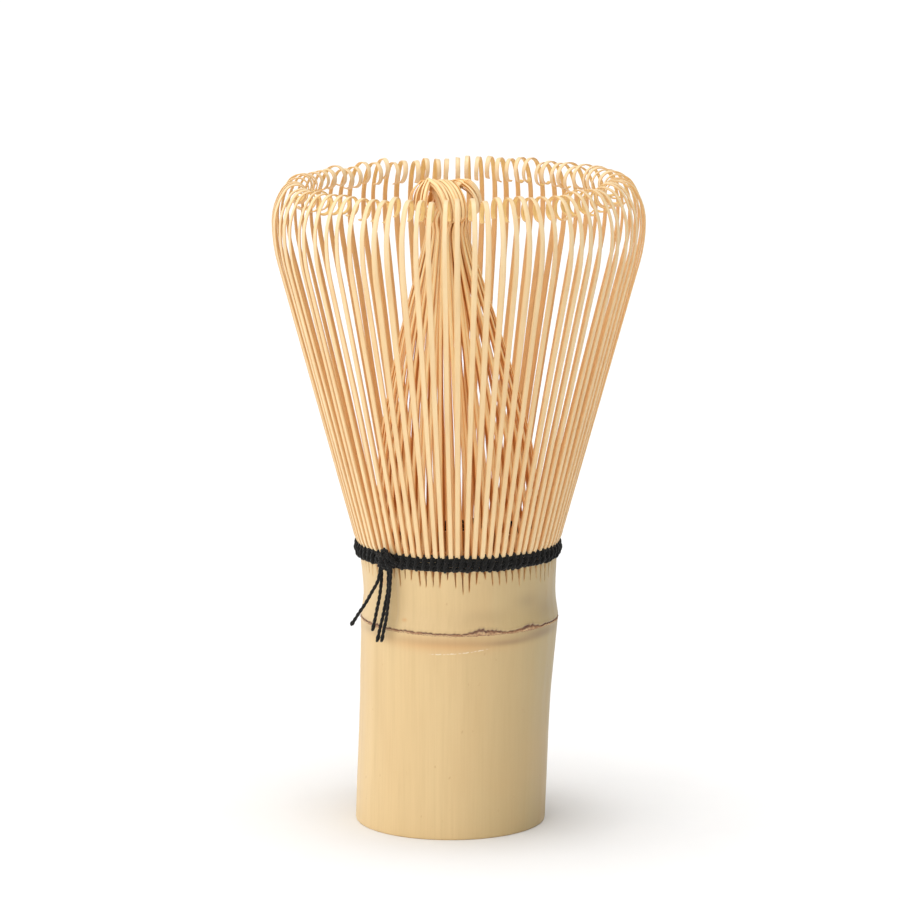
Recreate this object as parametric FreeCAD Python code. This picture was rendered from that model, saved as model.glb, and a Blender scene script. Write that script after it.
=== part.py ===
import FreeCAD, Part
import math
import os

from FreeCAD import Vector

# Bamboo tea whisk. Millimetres, +Z up. The origin lies on the crown's axis, in the plane that the foot rests on.
# One length of culm makes the handle and every tine: its top is split into 80 broad outer fingers, which flare
# to the curled rim, and 80 narrow inner ones, which are drawn together into the topknot. A thread laces them.

# ---- Culm ----
CULM_RADIUS = 16.2
BORE_RADIUS = 12.5
BASE_LEAN_DEG = 2.2          # the lower internode leans against the crown's axis
FOOT_CHAMFER = 0.4
NODE_BOTTOM = 34.0
NODE_TOP = 37.4
NODE_BULGE_RADIUS = 16.6
NODE_BULGE_Z = 35.8
NODE_TOP_RADIUS = 16.3
DIAPHRAGM_THICKNESS = 1.6
DIAPHRAGM_DOME = 0.7
WAIST_RADIUS = 16.15
WAIST_Z = 39.6
SHOULDER_RADIUS = 16.3
SHOULDER_Z = 42.2

# ---- Fingers: the top of the culm, split ----
TINE_COUNT = 80
GROUP_COUNT = 16
GROUP_SIZE = TINE_COUNT // GROUP_COUNT
LEDGE_Z = 43.5               # below it the wall is whole, above it only the outer fingers stand at full radius
FINGER_BORE = 14.5
FINGER_TIP_BORE = 16.0
FINGER_TOP = 48.95
FINGER_RADIUS = 16.72        # under the lacing
LIP_RADIUS = 17.3            # just above the lacing, where the tines spring outward
CRACK_WIDTH = 0.38
CRACK_FULL_Z = 46.4
CRACK_FOOT_Z = 44.4
CRACK_SPREAD = 0.5
CRACK_PHASE_DEG = 137.5      # the golden angle, which makes neighbouring cracks unlike each other

# ---- Lacing ----
THREAD_RADIUS = 0.38
THREAD_ROWS = 3
THREAD_RING_RADIUS = 17.15
THREAD_FIRST_Z = 46.6
THREAD_PITCH = 0.77

# ---- Outer tines ----
OUTER_FOOT = (17.3, 49.25)   # radius and height of the centre line where a tine leaves its finger
OUTER_FLARE_DEG = 15.6
OUTER_STRAIGHT = 48.5
OUTER_WIDTH = 0.95
OUTER_ROOT_THICKNESS = 0.8
OUTER_TIP_THICKNESS = 0.24
# Each bend of the curl, as its radius and the turn inward in degrees
OUTER_BENDS = ((25.0, OUTER_FLARE_DEG), (10.0, 35.0), (3.2, 55.0), (2.2, 90.0), (1.9, 90.0), (1.6, 30.0))

# ---- Inner tines ----
INNER_FOOT = (14.0, 42.8)
INNER_UPRIGHT = 7.2
INNER_CONE_BEND = (116.0, 15.0)
INNER_CONE_STRAIGHT = 20.2
INNER_NECK_BEND = (8.0, -43.0)
INNER_KNOT_BEND = (2.5, 133.0)
INNER_WIDTH = 0.6
INNER_THICKNESS = 0.26
INNER_LAYERS = 4
INNER_LAYER_STEP = 0.42
BUNDLE_LEAN_DEG = 1.9        # the whole cone leans to -X

# ---- Knot and tails ----
KNOT_AZIMUTH_DEG = 227.0
KNOT_RING_RADIUS = 18.1
KNOT_Z = 47.3
KNOT_HALF_SIZE = (1.1, 1.5, 1.4)      # outward, round the culm, and up
BAND_CLEAR_RADIUS = 17.56
LOOP_RADIUS = 0.75
LOOP_THREAD_RADIUS = 0.3
LOOP_RING_RADIUS = 18.75
LOOP_FOOT_Z = 48.2
LOOP_LEG = 0.9
TAIL_RADIUS = 0.4
RUN_SHARE = 0.45                      # share of the shorter run that a tangent arc takes
# Each tail's route, from inside the knot to its cut end
TAILS = (
    ((-13.5, -13.3, 46.6), (-13.9, -13.0, 43.4), (-15.7, -11.4, 39.6), (-17.6, -9.6, 36.5)),
    ((-13.0, -12.6, 46.6), (-13.25, -12.35, 42.6), (-13.8, -11.8, 38.8), (-14.2, -11.2, 35.2)),
    ((-12.05, -13.5, 46.6), (-12.6, -13.3, 42.2), (-13.0, -12.8, 37.8), (-13.5, -12.1, 33.5)),
    ((-11.35, -14.25, 46.6), (-11.9, -14.1, 42.4), (-12.2, -13.6, 38.0), (-12.8, -12.9, 33.7)),
)

FAR = 100.0                           # larger than any part across
CUT_MARGIN = 1.0                      # how far a cutter stands out past what it cuts


def save(name, shape):
    """Write one sub-part."""
    shape.exportStep(os.path.join("parts", name + ".step"))


def point(radius, height):
    """A point of a section, in the XZ plane."""
    return Vector(radius, 0, height)


def polyline(points):
    """Straight edges through points."""
    return [Part.LineSegment(a, b).toShape() for a, b in zip(points, points[1:])]


def arc(a, b, c):
    """The arc from a through b to c."""
    return Part.Arc(a, b, c).toShape()


def revolve(edges):
    """A closed section turned once about the Z axis."""
    face = Part.Face(Part.Wire(Part.__sortEdges__(edges)))
    return face.revolve(Vector(0, 0, 0), Vector(0, 0, 1), 360)


def turned(shape, degrees):
    """A copy, turned about the Z axis."""
    copy = shape.copy()
    copy.rotate(Vector(0, 0, 0), Vector(0, 0, 1), degrees)
    return copy


# ---- Culm ----

def leaning_cylinder(radius):
    """A cylinder about the lower internode's leaning axis, which meets the crown's axis at the node."""
    cylinder = Part.makeCylinder(radius, 2 * NODE_BOTTOM, Vector(0, 0, -NODE_BOTTOM / 2))
    cylinder.rotate(point(0, NODE_BOTTOM), Vector(0, 1, 0), BASE_LEAN_DEG)
    return cylinder


def lower_culm():
    """The internode that is held: an open tube, cut flat at its foot and chamfered round it."""
    slab = Part.makeBox(FAR, FAR, NODE_BOTTOM, Vector(-FAR / 2, -FAR / 2, 0))
    tube = leaning_cylinder(CULM_RADIUS).common(slab).cut(leaning_cylinder(BORE_RADIUS))
    foot_edges = [edge for edge in tube.Edges if edge.BoundBox.ZMax < FOOT_CHAMFER]
    return tube.makeChamfer(FOOT_CHAMFER, foot_edges)


def node_ridge():
    """The ring at the node, with its low bulge."""
    bulge = arc(point(CULM_RADIUS, NODE_BOTTOM), point(NODE_BULGE_RADIUS, NODE_BULGE_Z),
                point(NODE_TOP_RADIUS, NODE_TOP))
    rest = polyline([point(NODE_TOP_RADIUS, NODE_TOP), point(BORE_RADIUS, NODE_TOP),
                     point(BORE_RADIUS, NODE_BOTTOM), point(CULM_RADIUS, NODE_BOTTOM)])
    return revolve([bulge] + rest)


def node_diaphragm():
    """The thin domed wall that closes the culm inside its node."""
    low = (NODE_BOTTOM + NODE_TOP - DIAPHRAGM_THICKNESS) / 2
    high = low + DIAPHRAGM_THICKNESS
    half = BORE_RADIUS / 2
    rise = DIAPHRAGM_DOME * 3 / 4
    under = arc(point(0, low + DIAPHRAGM_DOME), point(half, low + rise), point(BORE_RADIUS, low))
    over = arc(point(0, high + DIAPHRAGM_DOME), point(half, high + rise), point(BORE_RADIUS, high))
    sides = polyline([point(0, low + DIAPHRAGM_DOME), point(0, high + DIAPHRAGM_DOME)])
    sides += polyline([point(BORE_RADIUS, low), point(BORE_RADIUS, high)])
    return revolve([under, over] + sides)


def crack(index):
    """The cutter of one crack between two fingers: a sliver that widens upward, in a radial plane."""
    foot = CRACK_FOOT_Z + CRACK_SPREAD * math.sin(math.radians(index * CRACK_PHASE_DEG))
    half = CRACK_WIDTH / 2
    above = FINGER_TOP + CUT_MARGIN
    corners = [(0, foot), (half, CRACK_FULL_Z), (half, above), (-half, above), (-half, CRACK_FULL_Z), (0, foot)]
    wire = Part.makePolygon([Vector(FINGER_BORE - CUT_MARGIN, y, z) for y, z in corners])
    cutter = Part.Face(wire).extrude(Vector(LIP_RADIUS - FINGER_BORE + 2 * CUT_MARGIN, 0, 0))
    return turned(cutter, (index + 0.5) * 360 / TINE_COUNT)


def upper_culm():
    """The waist above the node, and the fingers that its top is split into."""
    waist = arc(point(NODE_TOP_RADIUS, NODE_TOP), point(WAIST_RADIUS, WAIST_Z), point(SHOULDER_RADIUS, SHOULDER_Z))
    lacing_low = THREAD_FIRST_Z - THREAD_RADIUS
    lacing_high = FINGER_TOP - (LIP_RADIUS - FINGER_RADIUS)
    rest = polyline([point(SHOULDER_RADIUS, SHOULDER_Z), point(FINGER_RADIUS, lacing_low),
                     point(FINGER_RADIUS, lacing_high + THREAD_RADIUS / 2), point(LIP_RADIUS, FINGER_TOP),
                     point(FINGER_TIP_BORE, FINGER_TOP), point(FINGER_BORE, lacing_low),
                     point(FINGER_BORE, LEDGE_Z), point(BORE_RADIUS, LEDGE_Z),
                     point(BORE_RADIUS, NODE_TOP), point(NODE_TOP_RADIUS, NODE_TOP)])
    ring = revolve([waist] + rest)
    return ring.cut(Part.makeCompound([crack(index) for index in range(TINE_COUNT)]))


# ---- Tines ----

def heading_vector(degrees):
    """The unit vector of a heading in the XZ plane: 0 is outward, 90 is up."""
    angle = math.radians(degrees)
    return Vector(math.cos(angle), 0, math.sin(angle))


def trace(start, heading, legs):
    """The centre line of a strip, as three stations a leg. A leg is its radius and turn, or its length and None."""
    stations = []
    position = point(*start)
    run = 0.0
    for size, turn in legs:
        leg = []
        length = size if turn is None else size * math.radians(abs(turn))
        for share in (0, 0.5, 1):
            if turn is None:
                place = position + heading_vector(heading) * (size * share)
                facing = heading
            else:
                side = 90 if turn > 0 else -90
                facing = heading + turn * share
                place = position + (heading_vector(heading + side) - heading_vector(facing + side)) * size
            leg.append((place, facing, run + length * share))
        stations.append(leg)
        position, heading, run = leg[-1]
    return stations, run


def strip(start, heading, legs, width, thickness, inset=0.0):
    """A thin strip along a centre line, tapering from thickness[0] to thickness[1], inset towards its left."""
    stations, total = trace(start, heading, legs)

    def side_edges(side):
        edges = []
        for leg in stations:
            corners = []
            for place, facing, run in leg:
                half = (thickness[0] + (thickness[1] - thickness[0]) * run / total) / 2
                corners.append(place + heading_vector(facing + 90) * (inset + side * half))
            straight = leg[0][1] == leg[-1][1]
            edges.append(polyline([corners[0], corners[-1]])[0] if straight else arc(*corners))
        return edges, edges[0].Vertexes[0].Point, edges[-1].Vertexes[-1].Point

    inner, inner_foot, inner_tip = side_edges(1)
    outer, outer_foot, outer_tip = side_edges(-1)
    ends = polyline([inner_foot, outer_foot]) + polyline([inner_tip, outer_tip])
    face = Part.Face(Part.Wire(Part.__sortEdges__(inner + outer + ends)))
    face.translate(Vector(0, -width / 2, 0))
    return face.extrude(Vector(0, width, 0))


def outer_tine():
    """One outer tine in the XZ plane: it flares straight outward, bends upright and curls inward."""
    legs = ((OUTER_STRAIGHT, None),) + OUTER_BENDS
    return strip(OUTER_FOOT, 90 - OUTER_FLARE_DEG, legs, OUTER_WIDTH, (OUTER_ROOT_THICKNESS, OUTER_TIP_THICKNESS))


def inner_tine(layer):
    """One inner tine in the XZ plane: it leans in along the cone, swells at the neck and closes over the top."""
    legs = ((INNER_UPRIGHT, None), INNER_CONE_BEND, (INNER_CONE_STRAIGHT, None), INNER_NECK_BEND, INNER_KNOT_BEND)
    return strip(INNER_FOOT, 90, legs, INNER_WIDTH, (INNER_THICKNESS, INNER_THICKNESS), layer * INNER_LAYER_STEP)


def standing_inner_tine(tine, degrees):
    """An inner tine in its place in the leaning cone, with its foot cut to stand on the ledge."""
    placed = turned(tine, degrees)
    placed.rotate(point(0, LEDGE_Z), Vector(0, 1, 0), -BUNDLE_LEAN_DEG)
    below = Part.makeBox(FAR, FAR, FAR, Vector(-FAR / 2, -FAR / 2, LEDGE_Z - FAR))
    return placed.cut(below).Solids[0]


def save_tines():
    """Write the tines, in the groups of five that the culm is first split into."""
    outer = outer_tine()
    layers = [inner_tine(layer) for layer in range(INNER_LAYERS)]
    step = 360 / TINE_COUNT
    for group in range(GROUP_COUNT):
        indices = range(group * GROUP_SIZE, (group + 1) * GROUP_SIZE)
        outer_group = [turned(outer, index * step) for index in indices]
        inner_group = [standing_inner_tine(layers[index % INNER_LAYERS], (index + 0.5) * step) for index in indices]
        save("outer_tines_%02d" % (group + 1), Part.makeCompound(outer_group))
        save("inner_tines_%02d" % (group + 1), Part.makeCompound(inner_group))


# ---- Thread ----

def thread_row(row):
    """One turn of the lacing round the fingers."""
    return Part.makeTorus(THREAD_RING_RADIUS, THREAD_RADIUS, Vector(0, 0, THREAD_FIRST_Z + row * THREAD_PITCH))


def at_knot(shape):
    """A shape made on the +X side, moved round to the knot."""
    return turned(shape, KNOT_AZIMUTH_DEG)


def knot():
    """The knot, an egg that is flat where it presses on the lacing."""
    outward, around, up = KNOT_HALF_SIZE
    egg = Part.makeSphere(1)
    scale = FreeCAD.Matrix()
    scale.scale(outward, around, up)
    egg = egg.transformGeometry(scale)
    egg.translate(point(KNOT_RING_RADIUS, KNOT_Z))
    band = Part.makeCylinder(BAND_CLEAR_RADIUS, FAR)
    return at_knot(egg.cut(band).Solids[0])


def rounded_path(points):
    """Straight runs through points, joined by tangent arcs as large as the runs allow."""
    edges = []
    start = points[0]
    for before, corner, after in zip(points, points[1:], points[2:]):
        back = before - corner
        ahead = after - corner
        turn = math.pi - back.getAngle(ahead)
        cut = RUN_SHARE * min(back.Length, ahead.Length)
        radius = cut / math.tan(turn / 2)
        print("arc radius %.1f" % radius)
        back.normalize()
        ahead.normalize()
        entry = corner + back * cut
        leave = corner + ahead * cut
        bisector = back + ahead
        bisector.normalize()
        middle = corner + bisector * (math.hypot(radius, cut) - radius)
        edges += polyline([start, entry])
        edges.append(arc(entry, middle, leave))
        start = leave
    edges += polyline([start, points[-1]])
    return Part.Wire(edges)


def tube(path, start, direction, radius):
    """A round thread along a path."""
    section = Part.Wire(Part.makeCircle(radius, start, direction))
    return path.makePipeShell([section], True, False)


def knot_loop():
    """The small loop of thread that stands above the knot."""
    foot = Vector(LOOP_RING_RADIUS, -LOOP_RADIUS, LOOP_FOOT_Z)
    other_foot = Vector(LOOP_RING_RADIUS, LOOP_RADIUS, LOOP_FOOT_Z)
    leg = Vector(0, 0, LOOP_LEG)
    crown = Vector(LOOP_RING_RADIUS, 0, LOOP_FOOT_Z + LOOP_LEG + LOOP_RADIUS)
    edges = polyline([foot, foot + leg])
    edges.append(arc(foot + leg, crown, other_foot + leg))
    edges += polyline([other_foot + leg, other_foot])
    return at_knot(tube(Part.Wire(edges), foot, leg, LOOP_THREAD_RADIUS))


def tail(route):
    """One loose end of thread, from the knot downward."""
    points = [Vector(*place) for place in route]
    return tube(rounded_path(points), points[0], points[1] - points[0], TAIL_RADIUS)


def save_thread():
    """Write the lacing, the knot, its loop and its tails."""
    for row in range(THREAD_ROWS):
        save("thread_row_%d" % (row + 1), thread_row(row))
    knot_body = knot()
    save("thread_knot", knot_body)
    save("thread_knot_loop", knot_loop().cut(knot_body))
    for number, route in enumerate(TAILS, start=1):
        save("thread_tail_%d" % number, tail(route).cut(knot_body))


os.makedirs("parts", exist_ok=True)
save("lower_culm", lower_culm())
save("node_ridge", node_ridge())
save("node_diaphragm", node_diaphragm())
save("upper_culm", upper_culm())
save_tines()
save_thread()
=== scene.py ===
import math
import random

import bmesh
import bpy
import numpy as np
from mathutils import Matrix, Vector


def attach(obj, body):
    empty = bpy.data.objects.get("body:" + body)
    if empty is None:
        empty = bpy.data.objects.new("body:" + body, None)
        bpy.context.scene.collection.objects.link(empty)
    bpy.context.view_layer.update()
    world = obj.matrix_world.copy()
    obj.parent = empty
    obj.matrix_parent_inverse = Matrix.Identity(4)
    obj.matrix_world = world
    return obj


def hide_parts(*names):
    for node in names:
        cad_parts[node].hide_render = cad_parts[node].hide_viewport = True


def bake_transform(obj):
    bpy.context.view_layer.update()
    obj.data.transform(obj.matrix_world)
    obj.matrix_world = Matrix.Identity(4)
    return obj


# A bamboo tea whisk: one culm split into 80 outer and 80 inner tines, laced with a black cotton thread.
# Lengths in the tables below are in millimetres, as in the part; MM turns them into metres.

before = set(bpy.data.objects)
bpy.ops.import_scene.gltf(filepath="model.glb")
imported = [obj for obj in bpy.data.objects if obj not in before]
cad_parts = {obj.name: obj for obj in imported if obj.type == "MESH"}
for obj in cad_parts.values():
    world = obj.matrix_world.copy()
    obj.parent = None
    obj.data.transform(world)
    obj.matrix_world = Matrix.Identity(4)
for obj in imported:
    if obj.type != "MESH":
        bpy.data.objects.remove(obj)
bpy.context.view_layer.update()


MM = 0.001
TAU = 2 * math.pi
HANDLE = "handle"

# ---- layout ----

TINE_COUNT = 80
GROUP_COUNT = 16
TINES_PER_GROUP = TINE_COUNT // GROUP_COUNT
TINE_STEP = TAU / TINE_COUNT
BACK_CROWDING = 0.045       # radians by which the tines gather towards the front and back
BACK_BIAS = 0.04            # radians by which they gather more at the back than at the front
TINE_JITTER = 0.0045        # radians
FRONT_GAP_TINE = 61         # the tine, counted from 0, that follows the front's one wide gap
FRONT_GAP = 0.011           # radians
FRONT_GAP_RUN = 5.0         # tines over which the gap's shift fades

BORE_RADIUS = 12.5
FINGER_BORE = 14.5          # inside the fingers, above the ledge
LEDGE_Z = 43.5
LEAN = math.tan(math.radians(2.2))      # the held part's lean to -X, below LEAN_Z
LEAN_Z = 34.0
LEAN_BLEND = 2.5
NODE_SHIFT = 0.3            # the culm bows a little to +X about its node
NODE_SHIFT_Z = 37.0
NODE_SHIFT_RUN = 9.0
CULM_TOP = 46.9
FOOT_ROUND = 1.2            # below this height the outline isn't smoothed
CULM_OUTLINE = (            # height, radius
    (0.0, 15.95), (0.12, 16.12), (0.4, 16.2), (8.0, 16.22), (16.0, 16.2), (22.0, 16.26), (27.0, 16.46),
    (30.0, 16.56), (33.0, 16.66), (34.6, 16.78), (35.8, 16.8), (37.0, 16.6), (38.2, 16.4), (39.6, 16.3),
    (41.0, 16.34), (42.6, 16.44), (44.4, 16.56), (46.0, 16.7), (46.9, 16.72),
)
CULM_INSIDE = (             # radius, height: from the fingers' tops down the bore to the foot
    (16.3, CULM_TOP), (15.6, CULM_TOP), (FINGER_BORE, CULM_TOP), (FINGER_BORE, 45.2),
    (FINGER_BORE, LEDGE_Z), (BORE_RADIUS, LEDGE_Z), (BORE_RADIUS, 38.0), (BORE_RADIUS, 30.0),
    (BORE_RADIUS, 15.0), (BORE_RADIUS + 0.05, 0.3), (BORE_RADIUS + 0.25, 0.0), (14.6, 0.0),
)
CRACK_FOOT = 43.5
CRACK_FOOT_SPREAD = (-1.9, 1.3, 0.2)    # lowest, highest and most usual, from CRACK_FOOT
CRACK_FULL = 46.3
CRACK_DEPTH = 0.7
CRACK_WIDTH = 0.38
CRACK_HAIR = 0.025          # half a crack's width at its foot
CRACK_SWAY = 0.012          # radians
CRACK_SHARES = (            # the columns about one crack, as shares of the step to the next crack
    -0.5, -0.24, -0.1, -0.035, 0.0, 0.035, 0.1, 0.24, 0.36, 0.44, 0.47, 0.49,
)
SCAR_Z = 35.35
SCAR_HUMPS = (              # direction in degrees, width in degrees, how far it climbs
    (282.0, 5.0, 0.62), (290.0, 4.0, 0.3), (314.0, 5.5, 0.5),
    (212.0, 5.0, 0.2), (60.0, 8.0, 0.6), (120.0, 5.0, 0.4),
)
SCAR_COLUMNS = 1440
SCAR_SECTION = (            # share of the way up, share of the lip's height, darkness
    (-0.15, -0.8, 0.7), (0.05, 0.35, 0.6), (0.25, 0.8, 0.0),
    (0.5, 1.0, 0.15), (0.72, 0.9, 0.85), (1.02, -0.6, 1.0),
)
SCAR_FURROW = (0.10, 0.16)              # depth and half height of the furrow along the scar's edge
SCAR_RIDGE = (0.05, 0.32, 0.2)          # height, place above the edge and half height of the ridge over it
GROOVE = (228.5, 2.2, 0.4)              # direction and half width in degrees, and depth
GROOVE_RISE = (34.5, 38.0)
SHADE_RING = (34.2, 0.9, 0.1)           # height, half height and darkness of a faint ring of painted shade under the scar, below the node's bulge
# Darker grey-brown patches about the node: partly marks on the skin, partly painted shade on the right of its
# bulge and under it.
GREY_PATCHES_AND_SHADE = (                 # direction in degrees, height, width in degrees, half height, darkness
    (314.0, 40.4, 9.0, 1.3, 0.18), (326.0, 34.4, 17.0, 0.9, 0.34), (300.0, 33.7, 16.0, 0.5, 0.28),
    (262.0, 34.0, 30.0, 0.6, 0.1), (332.0, 38.6, 14.0, 2.2, 0.2), (205.0, 34.6, 8.0, 0.7, 0.2),
    (285.0, 38.4, 14.0, 1.2, 0.1),
)
BLUSHES = (                 # the same, for orange
    (236.0, 37.4, 1.6, 0.3, 0.55), (262.0, 33.6, 36.0, 1.1, 0.42), (221.0, 43.4, 4.0, 0.8, 0.25),
)
SCRATCH = (251.0, 289.0, 32.0, 1.0, 0.07)   # from and to in degrees, height, rise, half width

# ---- helpers ----


def linear(red, green, blue):
    """A colour given as 0-255 screen values, as the linear values that a shader takes."""
    channels = [c / 255 for c in (red, green, blue)]
    return tuple(c / 12.92 if c <= 0.04045 else ((c + 0.055) / 1.055) ** 2.4 for c in channels) + (1.0,)


def smoothstep(low, high, value):
    """0 below low, 1 above high, and a smooth rise between."""
    t = np.clip((value - low) / (high - low), 0, 1)
    return t * t * (3 - 2 * t)


def bell(value, width):
    """1 where value is 0, falling smoothly on both sides, to 0.37 at one width."""
    return np.exp(-((value / width) ** 2))


def unit(vectors):
    """Rows scaled to length 1."""
    return vectors / np.maximum(np.linalg.norm(vectors, axis=-1, keepdims=True), 1e-12)


def ripple(angle, seed, waves):
    """A seeded periodic wobble of about -1 to 1 round a ring, made of the given numbers of waves."""
    rng = random.Random(seed)
    total = np.zeros_like(angle)
    for count in waves:
        total = total + rng.uniform(0.5, 1.0) * np.sin(count * angle + rng.uniform(0, TAU))
    return total / len(waves) ** 0.5


def smooth_line(points, steps):
    """A Catmull-Rom line through the points, with that many steps between each two."""
    p = np.asarray(points, float)
    p = np.vstack([2 * p[0] - p[1], p, 2 * p[-1] - p[-2]])
    t = np.linspace(0, 1, steps, endpoint=False)[:, None]
    rows = []
    for k in range(1, len(p) - 2):
        a, b, c, d = p[k - 1], p[k], p[k + 1], p[k + 2]
        square = 2 * a - 5 * b + 4 * c - d
        cube = 3 * b - a - 3 * c + d
        rows.append(0.5 * (2 * b + (c - a) * t + square * t**2 + cube * t**3))
    rows.append(p[-2:-1])
    return np.vstack(rows)


def distances(line):
    """The length along a line at each of its points."""
    return np.concatenate([[0.0], np.cumsum(np.linalg.norm(np.diff(line, axis=0), axis=1))])


def ring_point(radius, angle, height):
    """Points at a radius, an angle and a height about the crown's axis."""
    radius, angle, height = np.broadcast_arrays(radius, angle, height)
    return np.stack([radius * np.cos(angle), radius * np.sin(angle), height], -1)


def axes_at(angle):
    """The directions away from the crown's axis and round it, at an angle."""
    radial = np.array([math.cos(angle), math.sin(angle), 0.0])
    around = np.array([-math.sin(angle), math.cos(angle), 0.0])
    return radial, around


def taper(along, places, sizes):
    """A strip's size at each point, from its sizes at some places along it and, last, at its end."""
    return np.interp(along, (*places, along[-1]), sizes)


def strip_section(outline, skins, width, thick):
    """A strip's section at each of its points, with the place across it and the skin at each corner."""
    outline = np.array(outline)
    each_point = np.zeros((len(width), 1))
    section = outline[None] * np.stack([width, thick], -1)[:, None]
    return section, outline[:, 0][None] + each_point, np.array(skins)[None] + each_point


def cross_axes(line, outward):
    """The directions outward from a line and across it, at each of its points."""
    forward = unit(np.gradient(line, axis=0))
    out = unit(outward - np.sum(outward * forward, -1, keepdims=True) * forward)
    return out, np.cross(forward, out)


def placed(name, data):
    """A new object, in the scene."""
    made = bpy.data.objects.new(name, data)
    bpy.context.scene.collection.objects.link(made)
    return made


class Shape:
    """The points, faces and per-point values of one mesh while it is being made."""

    VALUES = ("across", "along", "skin", "tone", "stain", "pale")

    def __init__(self):
        self.points = []
        self.faces = []
        self.values = {name: [] for name in self.VALUES}
        self.count = 0

    def add(self, points, faces, **values):
        """Adds points in millimetres, faces that number them from 0, and values for the points."""
        self.points.append(np.asarray(points, float))
        self.faces.extend(tuple(i + self.count for i in face) for face in faces)
        for name in self.VALUES:
            self.values[name].append(np.broadcast_to(values.get(name, 0.0), len(points)))
        self.count += len(points)

    def grid(self, points, wrap_rows=False, wrap_columns=True, **values):
        """Adds a grid of points (rows, columns, 3) with a face between each four."""
        rows, columns = points.shape[:2]
        number = np.arange(rows * columns).reshape(rows, columns)
        below = number if wrap_rows else number[:-1]
        above = np.roll(number, -1, 0) if wrap_rows else number[1:]
        if wrap_columns:
            four = (below, np.roll(below, -1, 1), np.roll(above, -1, 1), above)
        else:
            four = (below[:, :-1], below[:, 1:], above[:, 1:], above[:, :-1])
        faces = np.stack(four, -1).reshape(-1, 4).tolist()
        flat = {name: np.asarray(value, float).reshape(-1) for name, value in values.items()}
        self.add(points.reshape(-1, 3), faces, **flat)

    def sweep(self, line, outward, section, **values):
        """Sweeps a section, one per point of the line, with a cap at each end. A section's first coordinate
        runs across and its second outward."""
        out, across = cross_axes(line, outward)
        points = line[:, None] + section[..., :1] * across[:, None] + section[..., 1:] * out[:, None]
        start = self.count
        size = section.shape[1]
        full = {k: np.broadcast_to(v, points.shape[:2]) for k, v in values.items()}
        self.grid(points, **full)
        last = start + (len(line) - 1) * size
        self.faces.append(tuple(range(start, start + size))[::-1])
        self.faces.append(tuple(range(last, last + size)))

    def object(self, name, material, sharp=40.0):
        """The finished object, in metres."""
        mesh = bpy.data.meshes.new(name)
        mesh.from_pydata((np.vstack(self.points) * MM).tolist(), [], self.faces)
        mesh.polygons.foreach_set("use_smooth", [True] * len(mesh.polygons))
        mesh.set_sharp_from_angle(angle=math.radians(sharp))
        for value in self.VALUES:
            attribute = mesh.attributes.new(value, "FLOAT", "POINT")
            attribute.data.foreach_set("value", np.concatenate(self.values[value]).astype(np.float32))
        mesh.materials.append(material)
        mesh.validate()
        made = placed(name, mesh)
        return made


# ---- materials ----


class Nodes:
    """The node tree of a material or the world, with short calls for its nodes."""

    def __init__(self, owner, shader="Principled BSDF"):
        owner.use_nodes = True
        self.owner = owner
        self.tree = owner.node_tree
        self.shader = self.tree.nodes[shader]

    def new(self, kind, links=None, **settings):
        node = self.tree.nodes.new(kind)
        for key, value in settings.items():
            setattr(node, key, value)
        for socket, source in (links or {}).items():
            self.feed(node.inputs[socket], source)
        return node

    def feed(self, socket, source):
        """Links a node's output to a socket, or sets its value."""
        if isinstance(source, bpy.types.NodeSocket):
            self.tree.links.new(source, socket)
        else:
            socket.default_value = source

    def value(self, name):
        """One of the values that the mesh carries at its points."""
        return self.new("ShaderNodeAttribute", attribute_name=name).outputs["Fac"]

    def place(self, scale):
        """Position in the object's own frame, stretched by a scale for each axis."""
        source = self.new("ShaderNodeTexCoord").outputs["Object"]
        return self.new("ShaderNodeMapping", {"Vector": source, "Scale": scale}).outputs["Vector"]

    def strip_place(self, across, along, tone):
        """Position along a strip: across it, along it, and a separate pattern for each strip."""
        parts = {}
        for axis, name, scale in (("X", "across", across), ("Y", "along", along), ("Z", "tone", tone)):
            parts[axis] = self.math("MULTIPLY", self.value(name), scale)
        return self.new("ShaderNodeCombineXYZ", parts).outputs["Vector"]

    def noise(self, vector, scale, detail=4.0, roughness=0.55, distortion=0.0):
        inputs = {"Vector": vector, "Scale": scale, "Detail": detail, "Roughness": roughness,
                  "Distortion": distortion}
        return self.new("ShaderNodeTexNoise", inputs).outputs["Fac"]

    def math(self, operation, first, second=0.0):
        return self.new("ShaderNodeMath", {0: first, 1: second}, operation=operation).outputs[0]

    def between(self, source, low, high, to_low=0.0, to_high=1.0):
        """source's run from low to high, brought to another run and held there."""
        inputs = {"Value": source, "From Min": low, "From Max": high, "To Min": to_low, "To Max": to_high}
        return self.new("ShaderNodeMapRange", inputs).outputs["Result"]

    def mix(self, factor, first, second):
        """The first colour where the factor is 0 and the second where it is 1."""
        inputs = {"Factor": factor, 6: first, 7: second}
        return self.new("ShaderNodeMix", inputs, data_type="RGBA").outputs[2]

    def bump(self, height, distance, strength):
        inputs = {"Height": height, "Distance": distance, "Strength": strength}
        normal = self.new("ShaderNodeBump", inputs).outputs["Normal"]
        self.tree.links.new(normal, self.shader.inputs["Normal"])

    def finish(self, colour, roughness, **constants):
        """Feeds the shader. Constants go straight on its own sockets."""
        self.feed(self.shader.inputs["Base Color"], colour)
        self.feed(self.shader.inputs["Roughness"], roughness)
        for name, number in constants.items():
            self.shader.inputs[name.replace("_", " ").title().replace("Ior", "IOR")].default_value = number
        return self.owner


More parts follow.
